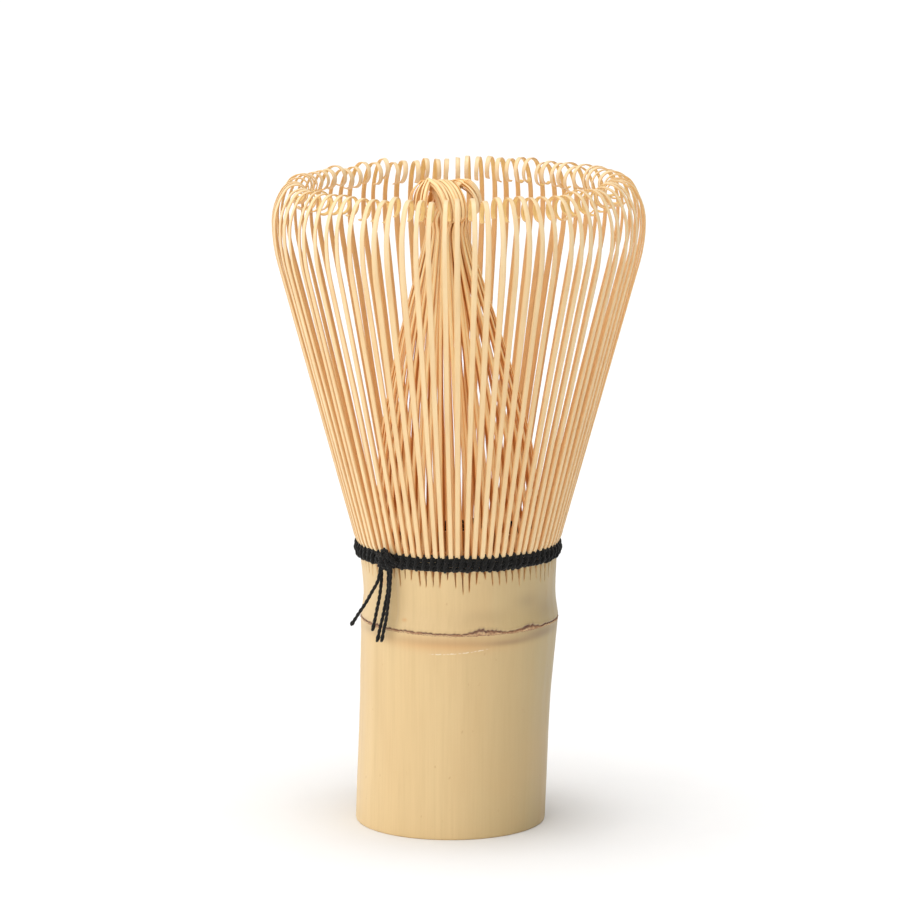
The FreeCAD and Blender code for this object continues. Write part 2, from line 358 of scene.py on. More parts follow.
def culm_material():
    """Bamboo skin: fibres, blotches, specks and dark scars, with painted shade that makes it darker towards
    the right and orange and dark down in the cracks.
    """
    n = Nodes(bpy.data.materials.new("bamboo_skin"))
    fibres = n.noise(n.place((1.0, 1.0, 0.02)), 2600.0, 5.0, 0.6)
    veins = n.noise(n.place((1.0, 1.0, 0.03)), 620.0, 3.0, 0.5)
    blotches = n.noise(n.place((1.0, 1.0, 0.45)), 95.0, 3.0, 0.5, 0.6)
    specks = n.noise(n.place((1.0, 1.0, 0.6)), 900.0, 2.0, 0.5)
    # Painted shade: the skin's colour darkens from the left across to the right, as on a culm lit from the
    # left.
    painted_shade_x = n.new("ShaderNodeSeparateXYZ", {"Vector": n.place((1.0, 1.0, 1.0))}).outputs["X"]
    colour = n.mix(n.between(painted_shade_x, -0.016, -0.001), linear(229, 198, 144), linear(224, 194, 141))
    colour = n.mix(n.between(painted_shade_x, -0.001, 0.017), colour, linear(182, 162, 115))
    colour = n.mix(n.between(blotches, 0.35, 0.7, 0.0, 0.35), colour, linear(212, 176, 122))
    colour = n.mix(n.between(veins, 0.4, 0.72, 0.0, 0.2), colour, linear(198, 168, 118))
    colour = n.mix(n.between(fibres, 0.42, 0.68, 0.0, 0.1), colour, linear(182, 144, 96))
    colour = n.mix(n.between(specks, 0.72, 0.78, 0.0, 0.35), colour, linear(176, 120, 70))
    # Orange: the blushes, the inside of the bore and fingers, and painted shade down in the cracks.
    colour = n.mix(n.value("skin"), colour, linear(216, 150, 84))
    # Dark: the scar's real edge, and painted shade under the node's bulge, on its right and down in the
    # cracks.
    colour = n.mix(n.value("stain"), colour, linear(104, 70, 58))
    colour = n.mix(n.value("pale"), colour, linear(250, 242, 222))
    height = n.math("ADD", n.math("MULTIPLY", fibres, 0.6), n.math("MULTIPLY", veins, 0.7))
    n.bump(height, 0.00006, 0.3)
    roughness = n.between(veins, 0.3, 0.7, 0.36, 0.52)
    return n.finish(colour, roughness, coat_weight=0.06, coat_roughness=0.35)


def scar_material():
    """The torn edge that the leaf sheath left round the node."""
    n = Nodes(bpy.data.materials.new("node_scar_edge"))
    grain = n.noise(n.place((1.0, 1.0, 1.0)), 3200.0, 4.0, 0.65)
    blotches = n.noise(n.place((1.0, 1.0, 1.4)), 420.0, 2.0, 0.5)
    colour = n.mix(n.value("stain"), linear(226, 190, 142), linear(104, 62, 50))
    colour = n.mix(n.between(blotches, 0.42, 0.62, 0.0, 0.75), colour, linear(166, 118, 82))
    colour = n.mix(n.between(grain, 0.45, 0.7, 0.0, 0.5), colour, linear(84, 54, 46))
    n.bump(grain, 0.00008, 0.7)
    return n.finish(colour, n.between(grain, 0.3, 0.7, 0.6, 0.8))


TIP_FADE = 9.0              # millimetres over which a tine's skin turns to its tip's colour
TIP_INSIDE_FADE = (7.0, 13.0)           # the same for the painted light on its inside, from and to, after tip_from


def tine_material(name, tip_from, face, edge, inside, dark, tip, tip_inside_painted_light):
    """Shaved bamboo: fibres run along each strip, its skin is paler than its wood, and no two strips match.
    From tip_from millimetres along it, a strip turns to the colours of its tip, and its inside takes a
    painted light, as if lit through the thin strip."""
    n = Nodes(bpy.data.materials.new(name))
    fibres = n.noise(n.strip_place(3.2, 0.09, 41.0), 2.2, 4.0, 0.6)
    cloud = n.noise(n.strip_place(0.25, 0.07, 23.0), 1.3, 3.0, 0.5)
    centre = n.math("ABSOLUTE", n.value("across"))
    colour = n.mix(n.between(centre, 0.25, 0.52), face, edge)
    colour = n.mix(n.value("skin"), inside, colour)
    colour = n.mix(n.between(n.value("tone"), 0.0, 1.0, 0.0, 0.35), colour, edge)
    colour = n.mix(n.between(cloud, 0.35, 0.7, 0.0, 0.3), colour, dark)
    in_tip = n.between(n.value("along"), tip_from, tip_from + TIP_FADE, 0.0, 0.85)
    low, high = (tip_from + more for more in TIP_INSIDE_FADE)
    # Painted light: a tip's inside turns brighter yellow, as if lit through the thin strip.
    curled = n.mix(n.between(n.value("along"), low, high), inside, tip_inside_painted_light)
    tip_colour = n.mix(n.value("skin"), curled, tip)
    colour = n.mix(n.math("MULTIPLY", in_tip, n.between(centre, 0.5, 0.34)), colour, tip_colour)
    colour = n.mix(n.between(fibres, 0.5, 0.74, 0.0, 0.35), colour, dark)
    # Painted shade: orange low down between the tines, in the knot's hollow and on the deeper layers.
    colour = n.mix(n.value("stain"), colour, linear(230, 146, 68))
    # Paler: painted light on the knot's right side.
    colour = n.mix(n.value("pale"), colour, linear(255, 236, 200))
    n.bump(fibres, 0.00003, 0.5)
    return n.finish(colour, n.between(fibres, 0.3, 0.7, 0.42, 0.6))


def inner_wall_material():
    """The pithy wall that closes the culm at its node."""
    n = Nodes(bpy.data.materials.new("bamboo_pith"))
    rings = n.noise(n.place((1.0, 1.0, 0.4)), 420.0, 5.0, 0.65, 1.2)
    pores = n.noise(n.place((1.0, 1.0, 1.0)), 2400.0, 3.0, 0.6)
    colour = n.mix(n.between(rings, 0.3, 0.7), linear(226, 196, 144), linear(186, 146, 92))
    colour = n.mix(n.between(pores, 0.56, 0.7, 0.0, 0.6), colour, linear(132, 92, 52))
    n.bump(n.math("ADD", rings, pores), 0.00015, 0.6)
    return n.finish(colour, n.between(pores, 0.3, 0.7, 0.65, 0.85))


def thread_material():
    """Matte black cotton: fibres wind round each ply, with a few pale specks, partly fluff and partly painted
    glints on the fibres.
    """
    n = Nodes(bpy.data.materials.new("black_cotton"))
    around = n.math("MULTIPLY", n.value("across"), 2.0)
    wind = n.math("ADD", around, n.math("MULTIPLY", n.value("along"), 5.0))
    strands = n.math("SINE", n.math("MULTIPLY", wind, TAU))
    fuzz = n.noise(n.place((1.0, 1.0, 1.0)), 7000.0, 3.0, 0.7)
    lint_and_glints = n.noise(n.place((1.0, 1.0, 1.0)), 2600.0, 4.0, 0.7, 1.0)
    colour = n.mix(n.between(strands, -1.0, 1.0), linear(9, 8, 7), linear(28, 27, 25))
    colour = n.mix(n.between(fuzz, 0.5, 0.75, 0.0, 0.5), colour, linear(44, 42, 39))
    # Pale specks: fluff on the cotton, and painted glints on its fibres.
    colour = n.mix(n.between(lint_and_glints, 0.66, 0.74, 0.0, 0.6), colour, linear(104, 102, 98))
    n.bump(n.math("ADD", n.math("MULTIPLY", strands, 0.5), fuzz), 0.00005, 0.8)
    return n.finish(colour, 0.88, sheen_weight=0.12, sheen_roughness=0.5, specular_ior_level=0.25)


def floor_material():
    """A plain white tabletop."""
    n = Nodes(bpy.data.materials.new("pale_floor"))
    grain = n.noise(n.place((1.0, 1.0, 1.0)), 60.0, 2.0)
    colour = n.mix(n.between(grain, 0.3, 0.7), linear(250, 250, 250), linear(248, 248, 248))
    return n.finish(colour, 0.9, specular_ior_level=0.0)


# ---- culm ----


def lean_shift(height):
    """How far along X the culm stands from the crown's axis at a height: its held part leans to -X."""
    drop = LEAN_Z - height
    bow = NODE_SHIFT * bell(height - NODE_SHIFT_Z, NODE_SHIFT_RUN)
    return bow - LEAN * LEAN_BLEND * np.log1p(np.exp(drop / LEAN_BLEND))


def degrees_from(angle, degrees):
    """How far angles are round from a direction, as degrees between -180 and 180."""
    return (np.degrees(angle) - degrees + 180) % 360 - 180


def scar_foot(angle):
    """The height of the node scar's lower edge round the culm."""
    return SCAR_Z - 0.1 + 0.06 * ripple(angle, 5, (3, 5, 8)) + 0.045 * ripple(angle, 6, (31, 47, 71, 113))


def scar_height(angle):
    """The height of the node scar's dark upper edge, which climbs over a few humps."""
    height = scar_foot(angle) + 0.36 + 0.07 * ripple(angle, 9, (27, 53, 86, 131))
    for degrees, width, rise in SCAR_HUMPS:
        hump = rise * bell(degrees_from(angle, degrees), width)
        height = height + hump * (1 + 0.25 * ripple(angle, 10, (61, 94, 140)))
    return height


def tine_angle(index):
    """The direction of an outer tine, or of the gap after it for a half index."""
    plain = index * TINE_STEP
    from_back = plain - math.pi / 2
    return plain - BACK_CROWDING * math.sin(2 * from_back) - BACK_BIAS * math.sin(from_back)


def culm_radius(angle, height):
    """The culm's outer radius, with the bulge, the soft groove and the unevenness of a grown stem."""
    z, r = zip(*CULM_OUTLINE)
    radius = np.interp(height, z, r)
    for shift in (0.5, 1.0):
        radius = radius + (np.interp(height + shift, z, r) + np.interp(height - shift, z, r)) * 0.5
    radius = radius / 3
    radius = np.where(height < FOOT_ROUND, np.interp(height, z, r), radius)
    radius = radius + 0.035 * ripple(angle, 11, (2, 3)) + 0.012 * ripple(angle, 12, (17, 29, 41))
    gap = height - scar_height(angle)
    furrow = SCAR_FURROW[0] * bell(gap, SCAR_FURROW[1])
    ridge = SCAR_RIDGE[0] * bell(gap - SCAR_RIDGE[1], SCAR_RIDGE[2])
    groove = bell(degrees_from(angle, GROOVE[0]), GROOVE[1]) * smoothstep(*GROOVE_RISE, height)
    return radius - furrow + ridge - GROOVE[2] * groove


def patches(angle, height, table):
    """The strength of a table's soft patches at points of the culm."""
    total = np.zeros_like(angle)
    for degrees, z, width, half_height, strength in table:
        away = (degrees_from(angle, degrees) / width) ** 2 + ((height - z) / half_height) ** 2
        total = total + strength * np.exp(-away)
    return total


def scratch(angle, height):
    """The strength of the pale scratch under the node."""
    first, last, z, rise, half_width = SCRATCH
    share = (np.degrees(angle) % 360 - first) / (last - first)
    line = z + rise * share**2 + 0.04 * ripple(angle, 14, (70, 110))
    inside = smoothstep(0.0, 0.15, share) * (1 - smoothstep(0.85, 1.0, share))
    breaks = np.clip(0.55 + 0.6 * ripple(angle, 15, (45, 88, 160)), 0, 1)
    return 0.75 * inside * breaks * bell(height - line, half_width)


def crack_columns():
    """Each column's angle round the culm, its angle from the nearest crack, and that crack's number."""
    angles, away, number = [], [], []
    for crack in range(TINE_COUNT):
        middle = tine_angle(crack + 0.5)
        step = tine_angle(crack + 1.5) - middle
        for share in CRACK_SHARES:
            angles.append(middle + share * step)
            away.append(share * step)
            number.append(crack)
    return np.array(angles), np.array(away), np.array(number)


def culm_heights():
    """The heights of the skin's rows, close together at the scratch, the scar and the cracks."""
    return np.concatenate([
        [0.0, 0.06, 0.12, 0.25, 0.4, 0.8], np.linspace(1.6, 31.6, 31), np.arange(31.8, 33.4, 0.07),
        np.arange(33.5, 34.9, 0.2), np.arange(34.95, 37.2, 0.075), np.linspace(37.3, 41.4, 22),
        np.arange(41.5, CULM_TOP + 0.01, 0.15),
    ])


def crack_opening(z, radius, away, number):
    """How open the cracks are at the culm's points, from 0 to 1, and how far up its crack each point is."""
    rng = random.Random(21)
    foot = np.array([CRACK_FOOT + rng.triangular(*CRACK_FOOT_SPREAD) for _ in range(TINE_COUNT)])[number]
    sway = np.array([rng.uniform(-0.8, 0.8) for _ in range(TINE_COUNT)])[number]
    wide = np.array([rng.uniform(0.3, 1.1) for _ in range(TINE_COUNT)])[number]
    rise = np.clip((z - foot) / (CRACK_FULL - foot), 0, 1)
    half = CRACK_HAIR + CRACK_WIDTH / 2 * wide * rise**2.2
    offset = np.abs(away[None] + sway * CRACK_SWAY * (1 - rise)) * radius
    opening = np.clip(1 - (offset - half * 0.55) / (half * 0.6 + 0.05), 0, 1)
    return (rise > 0) * opening * np.clip(rise * 5, 0, 1), rise


def culm_stain(angle, z, crack):
    """How dark the skin is: the scar's real dark edge, the grey-brown patches, which are partly painted
    shade, a ring of painted shade under the node's bulge, and painted shade down in the cracks.
    """
    edge = scar_height(angle)
    gap = z - edge
    climb = edge - scar_foot(angle)
    stain = 0.9 * bell(gap, 0.14)
    stain = stain + 0.45 * smoothstep(0.3, 0.8, climb) * bell(gap - 0.1, 0.3)
    stain = stain * (0.7 + 0.3 * ripple(angle, 33, (40, 67, 90))) + patches(angle, z, GREY_PATCHES_AND_SHADE)
    # Painted shade: a faint ring under the node's bulge, and darkening down in the cracks.
    return stain + SHADE_RING[2] * bell(z - SHADE_RING[0], SHADE_RING[1]) + 0.45 * crack**2


def culm_inside(angle, top, foot):
    """Rows of points from the skin's top row, over the fingers' tops and down the bore, to its foot."""
    rows = [top]
    for radius, height in CULM_INSIDE:
        wall = ring_point(radius + 0.05 * ripple(angle, 8, (5, 9, 13)), angle, height)
        wall[:, 0] += lean_shift(np.array(height))
        rows.append(wall)
    return np.array([*rows, foot])


def make_culm(material):
    """The whole culm: skin, foot, bore, and the cracks that split its top into fingers."""
    angle, away, number = crack_columns()
    z = culm_heights()[:, None] + 0 * angle[None]
    a = angle[None] + 0 * z
    radius = culm_radius(a, z)
    crack, rise = crack_opening(z, radius, away, number)
    points = ring_point(radius - CRACK_DEPTH * crack * (0.25 + 0.75 * rise), a, z)
    points[..., 0] += lean_shift(z)
    stain = culm_stain(a, z, crack)
    # The cracks' orange is painted shade; the blushes are orange patches on the skin.
    skin = np.clip(crack * 1.2, 0, 1) + patches(a, z, BLUSHES)
    shape = Shape()
    shape.grid(points, stain=np.clip(stain, 0, 1), skin=np.clip(skin, 0, 1), pale=scratch(a, z))
    inner = culm_inside(angle, points[-1], points[0])
    inner_skin = np.where(np.arange(len(inner)) < 1, 1.0, 0.55)[:, None] + np.zeros(inner.shape[:2])
    shape.grid(inner, skin=inner_skin)
    made = shape.object("culm", material, 50.0)
    weld(made)
    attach(made, HANDLE)
    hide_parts("lower_culm", "upper_culm")


def weld(made):
    """Joins points that lie on each other."""
    work = bmesh.new()
    work.from_mesh(made.data)
    bmesh.ops.remove_doubles(work, verts=work.verts, dist=1e-6)
    bmesh.ops.recalc_face_normals(work, faces=work.faces)
    work.to_mesh(made.data)
    work.free()


def make_scar(material):
    """A thin torn lip that stands along the node scar."""
    angle = np.linspace(0, TAU, SCAR_COLUMNS, endpoint=False)
    low = scar_foot(angle) - 0.05 + 0.05 * ripple(angle, 16, (97, 151, 211))
    high = scar_height(angle)
    proud = np.clip(0.08 + 0.06 * ripple(angle, 17, (19, 43, 89)), 0.015, 0.2)
    rows = []
    stains = []
    for share, out, stain in SCAR_SECTION:
        z = low + share * (high - low)
        surface = culm_radius(angle, z)
        line = ring_point(surface + out * proud, angle, z)
        line[:, 0] += lean_shift(z)
        rows.append(line)
        stains.append(np.full(len(angle), stain))
    shape = Shape()
    shape.grid(np.array(rows), wrap_rows=True, stain=np.array(stains))
    made = shape.object("node_scar", material, 70.0)
    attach(made, HANDLE)
    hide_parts("node_ridge")


# ---- outer tines ----

OUTER_FOOT = ((16.30, 46.1), (16.32, 46.8), (16.38, 47.5), (16.56, 48.15), (16.90, 48.8), (17.24, 49.5))
OUTER_START = (17.42, 50.1)
OUTER_HEADING = 74.4        # degrees up from the horizontal
OUTER_STRAIGHT = 47.45
OUTER_BENDS = (             # radius, degrees, pieces
    (25.0, 15.6, 4), (10.0, 35.0, 6), (3.2, 55.0, 7), (2.2, 90.0, 10), (1.9, 90.0, 10), (1.6, 30.0, 4),
)
CURL_FIRST = 2              # the bends from here on belong to the curl, and take its size
CURL_SHORT = 42.0           # how much less, in degrees, the curls at the front and the back turn
OUTER_SECTION = (           # across, outward, as shares of the width and the thickness
    (-0.40, 0.5), (0.40, 0.5), (0.5, 0.22), (0.48, -0.1),
    (0.34, -0.5), (-0.34, -0.5), (-0.48, -0.1), (-0.5, 0.22),
)
OUTER_SKIN = (1.0, 1.0, 0.75, 0.2, 0.0, 0.0, 0.2, 0.75)
OUTER_WIDTH_AT = (0, 3.2, 20, 42, 52, 60)
OUTER_WIDTHS = (0.92, 0.86, 0.90, 1.02, 1.04, 0.88, 0.76)
OUTER_THICK_AT = (0, 3.5, 30, 52)
OUTER_THICKS = (0.80, 0.74, 0.50, 0.30, 0.22)
OUTER_TIP = 52.0            # where, along a tine, the colours of its tip begin
# The tip's inside colour is painted light: brighter than the wood, as if lit through the thin strip.
OUTER_COLOURS = {
    "face": linear(243, 214, 165), "edge": linear(236, 196, 138), "inside": linear(238, 192, 130),
    "dark": linear(220, 172, 114), "tip": linear(247, 219, 172), "tip_inside_painted_light": linear(255, 229, 152),
}


def flat_path(start, heading, straight, steps, bends):
    """A line in a tine's plane, as (radius, height, turned) rows: a straight run, then bends to the left."""
    r, z = start
    theta = math.radians(heading)
    rows = [(r, z, 0.0)]
    for k in range(1, steps + 1):
        run = straight * k / steps
        rows.append((r + run * math.cos(theta), z + run * math.sin(theta), 0.0))
    r, z, _ = rows[-1]
    turned = 0.0
    for radius, degrees, pieces in bends:
        for _ in range(pieces):
            after = theta + math.radians(degrees) / pieces
            r += radius * (math.sin(after) - math.sin(theta))
            z += radius * (math.cos(theta) - math.cos(after))
            theta = after
            turned += degrees / pieces
            rows.append((r, z, turned))
    return np.array(rows)


def curl_size(angle):
    """How open a curl is: the curls at the left are the tightest, and those at the right the widest."""
    return 0.90 + 0.13 * math.cos(angle - math.radians(10))


def extra_length(angle):
    """How much longer the straight part is than its shortest: the crown stands highest at its back right."""
    return 0.38 + 0.42 * math.cos(angle - math.radians(30))


def outer_plane(angle, rng):
    """A tine's line in its own plane, as (radius, height) rows, and how far it has turned at each."""
    size = curl_size(angle) * rng.uniform(0.94, 1.07)
    bends = []
    for k, (radius, degrees, pieces) in enumerate(OUTER_BENDS):
        if k >= CURL_FIRST:
            radius *= size
        bends.append([radius, degrees, pieces])
    bends[1][1] += rng.uniform(-3, 3)
    bends[2][1] -= bends[1][1] - OUTER_BENDS[1][1]
    bends[-1][1] += rng.uniform(-22, 26)
    bends[-2][1] -= CURL_SHORT * smoothstep(0.86, 0.97, abs(math.sin(angle)))
    heading = OUTER_HEADING + rng.gauss(0, 0.22)
    bends[0][1] = 90 - heading
    straight = OUTER_STRAIGHT + extra_length(angle) + (1 - size) * 1.2 + rng.uniform(-0.25, 0.25)
    path = flat_path(OUTER_START, heading, straight, 13, bends)
    foot = smooth_line([*OUTER_FOOT, OUTER_START], 2)[:-1]
    turned = np.concatenate([np.zeros(len(foot)), path[:, 2]])
    return np.vstack([foot, path[:, :2]]), turned


def outer_tine(shape, index, rng):
    """One outer tine, from under the lacing to the end of its curl."""
    angle = tine_angle(index) + rng.gauss(0, TINE_JITTER)
    if index >= FRONT_GAP_TINE:
        angle += FRONT_GAP * math.exp(-((index - FRONT_GAP_TINE) / FRONT_GAP_RUN))
    plane, turned = outer_plane(angle, rng)
    curl = smoothstep(60, 330, turned)
    climb = smoothstep(50.0, 96.0, plane[:, 1])
    drift = 0.28 * math.sin(angle)
    side = rng.gauss(0, 0.12) * np.sin(climb * math.pi) + (drift + rng.gauss(0, 0.3)) * curl
    radial, around = axes_at(angle)
    line = plane[:, :1] * radial + side[:, None] * around
    line[:, 2] = plane[:, 1]
    forward = unit(np.gradient(plane, axis=0))
    out = forward[:, 1:] * radial
    out[:, 2] = -forward[:, 0]
    twist = (rng.gauss(0, 0.10) * climb + rng.gauss(0, 0.30) * curl)[:, None]
    out = out * np.cos(twist) + around * np.sin(twist)
    along = distances(line)
    width = taper(along, OUTER_WIDTH_AT, OUTER_WIDTHS) * rng.uniform(0.92, 1.07)
    thick = taper(along, OUTER_THICK_AT, OUTER_THICKS)
    section, across, skin = strip_section(OUTER_SECTION, OUTER_SKIN, width, thick)
    # Painted shade: orange on the wood's faces, a little all along and more within 14 mm of the foot, for the
    # shade between the tines low down.
    stain = (0.1 + 0.35 * (1 - smoothstep(0.0, 14.0, along)))[:, None] * (1 - skin)
    shape.sweep(line, out, section, across=across, along=along[:, None], skin=skin, tone=rng.random(),
                stain=stain)


def make_outer_tines(material):
    """Sixteen pieces of five tines, each bending out of the handle at the lacing."""
    rng = random.Random(7)
    for group in range(GROUP_COUNT):
        shape = Shape()
        for index in range(group * TINES_PER_GROUP, (group + 1) * TINES_PER_GROUP):
            outer_tine(shape, index, rng)
        name = "%02d" % (group + 1)
        made = shape.object("outer_tine_strips_" + name, material)
        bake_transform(made)
        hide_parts("outer_tines_" + name)


# ---- inner tines ----

INNER_CONE = (              # radius, height
    (15.5, 45.6), (15.1, 46.8), (14.55, 48.6), (14.1, 51.5), (13.65, 57.0),
    (12.95, 64.8), (11.0, 74.5), (8.6, 83.8), (6.3, 91.5), (4.3, 98.0),
)
CONE_SHIFT = ((46.0, 0.0), (64.8, -0.5), (83.8, -1.35), (98.4, -1.85), (112.0, -1.95))   # height, along X
LAYER_INSETS = (0.0, 0.42, 0.8)         # how far in each layer of tines runs
INNER_STEPS = 4
NECK = (3.55, 101.3)        # radius, height
SHOULDER = (3.6, 104.0)
KNOT_CENTRE = (-1.9, 0.0, 104.6)
KNOT_HIGH = 109.9
KNOT_FALL = (28, 55, 80, 100)           # degrees from the knot's top, for a strand's points
LAYER_DEPTH = 0.42
# The knot's four bundles: the first direction on the neck that a bundle takes its tines from, how many
# degrees on it runs, and how closely its tines gather in ribbons; where it passes over the top, from its
# first tine to its last; and where it bulges out most, in the same way. Places are from the cone's own axis.
KNOT_BUNDLES = (
    (75.0, 90.0, 0.0, ((-3.6, 0.4, 0.0), (0.9, 1.0, -0.4)), ((-0.4, -5.6, -5.6), (3.7, -3.9, -5.0))),
    (165.0, 85.0, 0.2, ((0.9, 1.6, -0.25), (3.3, 0.8, -0.1)), ((5.3, -2.4, -4.5), (6.0, 1.0, -4.0))),
    (250.0, 90.0, 0.75, ((-2.6, -0.4, -0.1), (-3.8, 0.4, -0.4)), ((-3.5, -5.2, -4.6), (-6.3, -0.4, -3.8))),
    (340.0, 95.0, 0.1, ((2.0, 2.6, -0.5), (-2.2, 2.8, -0.6)), ((2.8, 5.6, -4.6), (-4.8, 4.2, -4.4))),
)
RIBBONS = 4                 # how many ribbons a bundle has
INNER_SECTION = ((-0.3, 0.4), (0.0, 0.5), (0.3, 0.4), (0.5, 0.0), (0.36, -0.5), (-0.36, -0.5), (-0.5, 0.0))
INNER_SKIN = (1.0, 1.0, 1.0, 0.3, 0.0, 0.0, 0.3)
INNER_WIDTH_AT = (0, 6, 40, 56)
INNER_WIDTHS = (0.72, 0.7, 0.66, 0.66, 0.56)
INNER_THICK_AT = (0, 40, 56)
INNER_THICKS = (0.34, 0.24, 0.28, 0.2)
INNER_TIP = 54.0            # where, along a tine, the colours of its tip begin
# The tip's inside colour is painted light: brighter than the wood, as if lit through the thin strip.
INNER_COLOURS = {
    "face": linear(255, 235, 178), "edge": linear(246, 190, 114), "inside": linear(244, 176, 96),
    "dark": linear(222, 152, 80), "tip": linear(255, 226, 170), "tip_inside_painted_light": linear(250, 204, 130),
}


def knot_route(angle, layer, loose, rng):
    """One tine's way in the knot: up past the neck, over the top in its bundle, and down on the far side."""
    for first, span, gather, tops, bulges in KNOT_BUNDLES:
        share = ((math.degrees(angle) - first) % 360) / span
        if share < 1:
            break
    ribbon = (math.floor(share * RIBBONS) + 0.5) / RIBBONS
    share += gather * (ribbon - share) + rng.uniform(-0.03, 0.03)
    sink = LAYER_DEPTH * layer
    top, bulge = (np.array(ends[0]) * (1 - share) + np.array(ends[1]) * share for ends in (tops, bulges))
    top[2] += KNOT_HIGH - sink + rng.uniform(-0.16, 0.1)
    bulge[2] += KNOT_HIGH
    bulge[:2] *= 1 - 0.14 * sink + rng.uniform(-0.035, 0.02)
    turn = rng.uniform(-0.08, 0.14)
    neck = ring_point(NECK[0] - 0.75 * sink - 0.9 * loose, angle + 0.1 * turn, NECK[1])
    shoulder = ring_point(SHOULDER[0] - 0.85 * sink - 0.4 * loose, angle + turn, SHOULDER[1])
    rise = 0.45 * (shoulder - top) + top
    rise[2] = top[2] - 1.7
    route = [neck, shoulder, rise, top]
    for degrees in KNOT_FALL:
        out = math.sin(math.radians(degrees))
        fall = math.cos(math.radians(degrees))
        place = top + (bulge - top) * out
        place[2] = bulge[2] + (top[2] - bulge[2]) * fall
        route.append(place)
    tuck = bulge * (0.8, 0.8, 1.0)
    tuck[2] -= 1.6 + rng.uniform(-0.3, 0.4)
    route.append(tuck)
    return route


def cone_route(angle, inset, pull, sag):
    """One tine's way on the cone: in to the neck, pulled a little round it, with a slight sag."""
    route = []
    for k, (radius, height) in enumerate(INNER_CONE):
        share = k / (len(INNER_CONE) - 1)
        lean = angle + pull * share**1.5
        inner = radius - inset * min(1.0, share * 2.2) + sag * math.sin(share * math.pi)
        route.append(ring_point(inner, lean, height))
    return route


def inner_stain(along, layer, skin, knotted):
    """How orange an inner tine is, as painted shade: its wood low down, behind the outer tines, all of it
    where it enters the knot's hollow, and more on each deeper layer.
    """
    low = 1 - smoothstep(2.0, 46.0, along)
    stain = ((0.4 * low + 0.05) * (1 - knotted))[:, None] * (1 - 0.88 * skin)
    stain = stain + (0.05 * layer + 0.25 * knotted * (1 - smoothstep(58.5, 60.5, along)))[:, None]
    return np.clip(stain, 0, 1)


def inner_tine(shape, index, rng):
    """One inner tine: up the cone to the neck, over the top of the knot, and down on its far side."""
    angle = tine_angle(index + 0.5)
    layer = index % len(LAYER_INSETS)
    loose = rng.uniform(-0.12, 0.12)
    pull = 0.04 * math.sin(index * 2.4) + rng.gauss(0, 0.03)
    route = cone_route(angle, LAYER_INSETS[layer] + loose, pull, rng.gauss(0, 0.12))
    cone_rows = INNER_STEPS * len(route)
    route.extend(knot_route(angle + pull, layer, loose, rng))
    line = smooth_line(np.array(route), INNER_STEPS)
    shift = np.interp(np.maximum.accumulate(line[:, 2]), *zip(*CONE_SHIFT))
    flat = line * (1, 1, 0)
    line[:, 0] += shift
    into = smoothstep(99.0, 104.0, line[:, 2])
    into[cone_rows:] = np.maximum.accumulate(into[cone_rows:])
    out = unit(flat) * (1 - into[:, None]) + unit(line - np.array(KNOT_CENTRE)) * into[:, None]
    tilt = rng.gauss(0, 0.24) * into[:, None]
    out = out * np.cos(tilt) + np.cross(unit(np.gradient(line, axis=0)), out) * np.sin(tilt)
    along = distances(line)
    width = taper(along, INNER_WIDTH_AT, INNER_WIDTHS) * rng.uniform(0.88, 1.16)
    thick = taper(along, INNER_THICK_AT, INNER_THICKS)
    section, across, skin = strip_section(INNER_SECTION, INNER_SKIN, width, thick)
    knotted = smoothstep(54.0, 60.0, along)
    # Painted light: the knot's strands on the right are lightened against the shade that the light from the
    # left leaves there.
    pale = 0.5 * knotted * smoothstep(1.0, 4.0, line[:, 0])
    shape.sweep(line, out, section, across=across, along=along[:, None], skin=skin, tone=rng.random(),
                stain=inner_stain(along, layer, skin, knotted), pale=pale[:, None])


def make_inner_tines(material):
    """Sixteen pieces of five tines, drawn in to the neck and locked over each other in the knot."""
    rng = random.Random(19)
    for group in range(GROUP_COUNT):
        shape = Shape()
        for index in range(group * TINES_PER_GROUP, (group + 1) * TINES_PER_GROUP):
            inner_tine(shape, index, rng)
        name = "%02d" % (group + 1)
        made = shape.object("inner_tine_strips_" + name, material)
        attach(made, HANDLE)
        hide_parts("inner_tines_" + name)


# ---- thread ----

ROW_HEIGHTS = (46.6, 47.37, 48.14)
ROW_RADIUS = 16.88
ROW_STEPS = 16              # points for each tine
WRAP_LOW = 46.42
WRAP_HIGH = 48.55
WRAP_ROUTE = (              # share of the way up, radius
    (1.0, 16.35), (0.985, 16.8), (0.88, 17.15), (0.62, 17.3),
    (0.38, 17.32), (0.12, 17.2), (0.015, 16.9), (0.0, 16.6),
)
HIDDEN_RADIUS = 15.75       # of the three runs behind the tines
HIDDEN_HEIGHTS = (48.3, 47.55, 46.8)
HIDDEN_STEPS = 10
PLY_SIDES = 7
# Each thread's twist: its plies' radius, their distance from its middle, and the length of a full turn.
ROW_TWIST = (0.285, 0.15, 2.4)
WRAP_TWIST = (0.29, 0.14, 2.6)
HIDDEN_TWIST = (0.22, 0.14, 1.7)
KNOT_TWIST = (0.25, 0.19, 1.6)
KNOT_END_TWIST = (0.24, 0.18, 1.6)
LOOP_TWIST = (0.18, 0.14, 1.3)
TAIL_TWIST = (0.22, 0.1, 2.1)


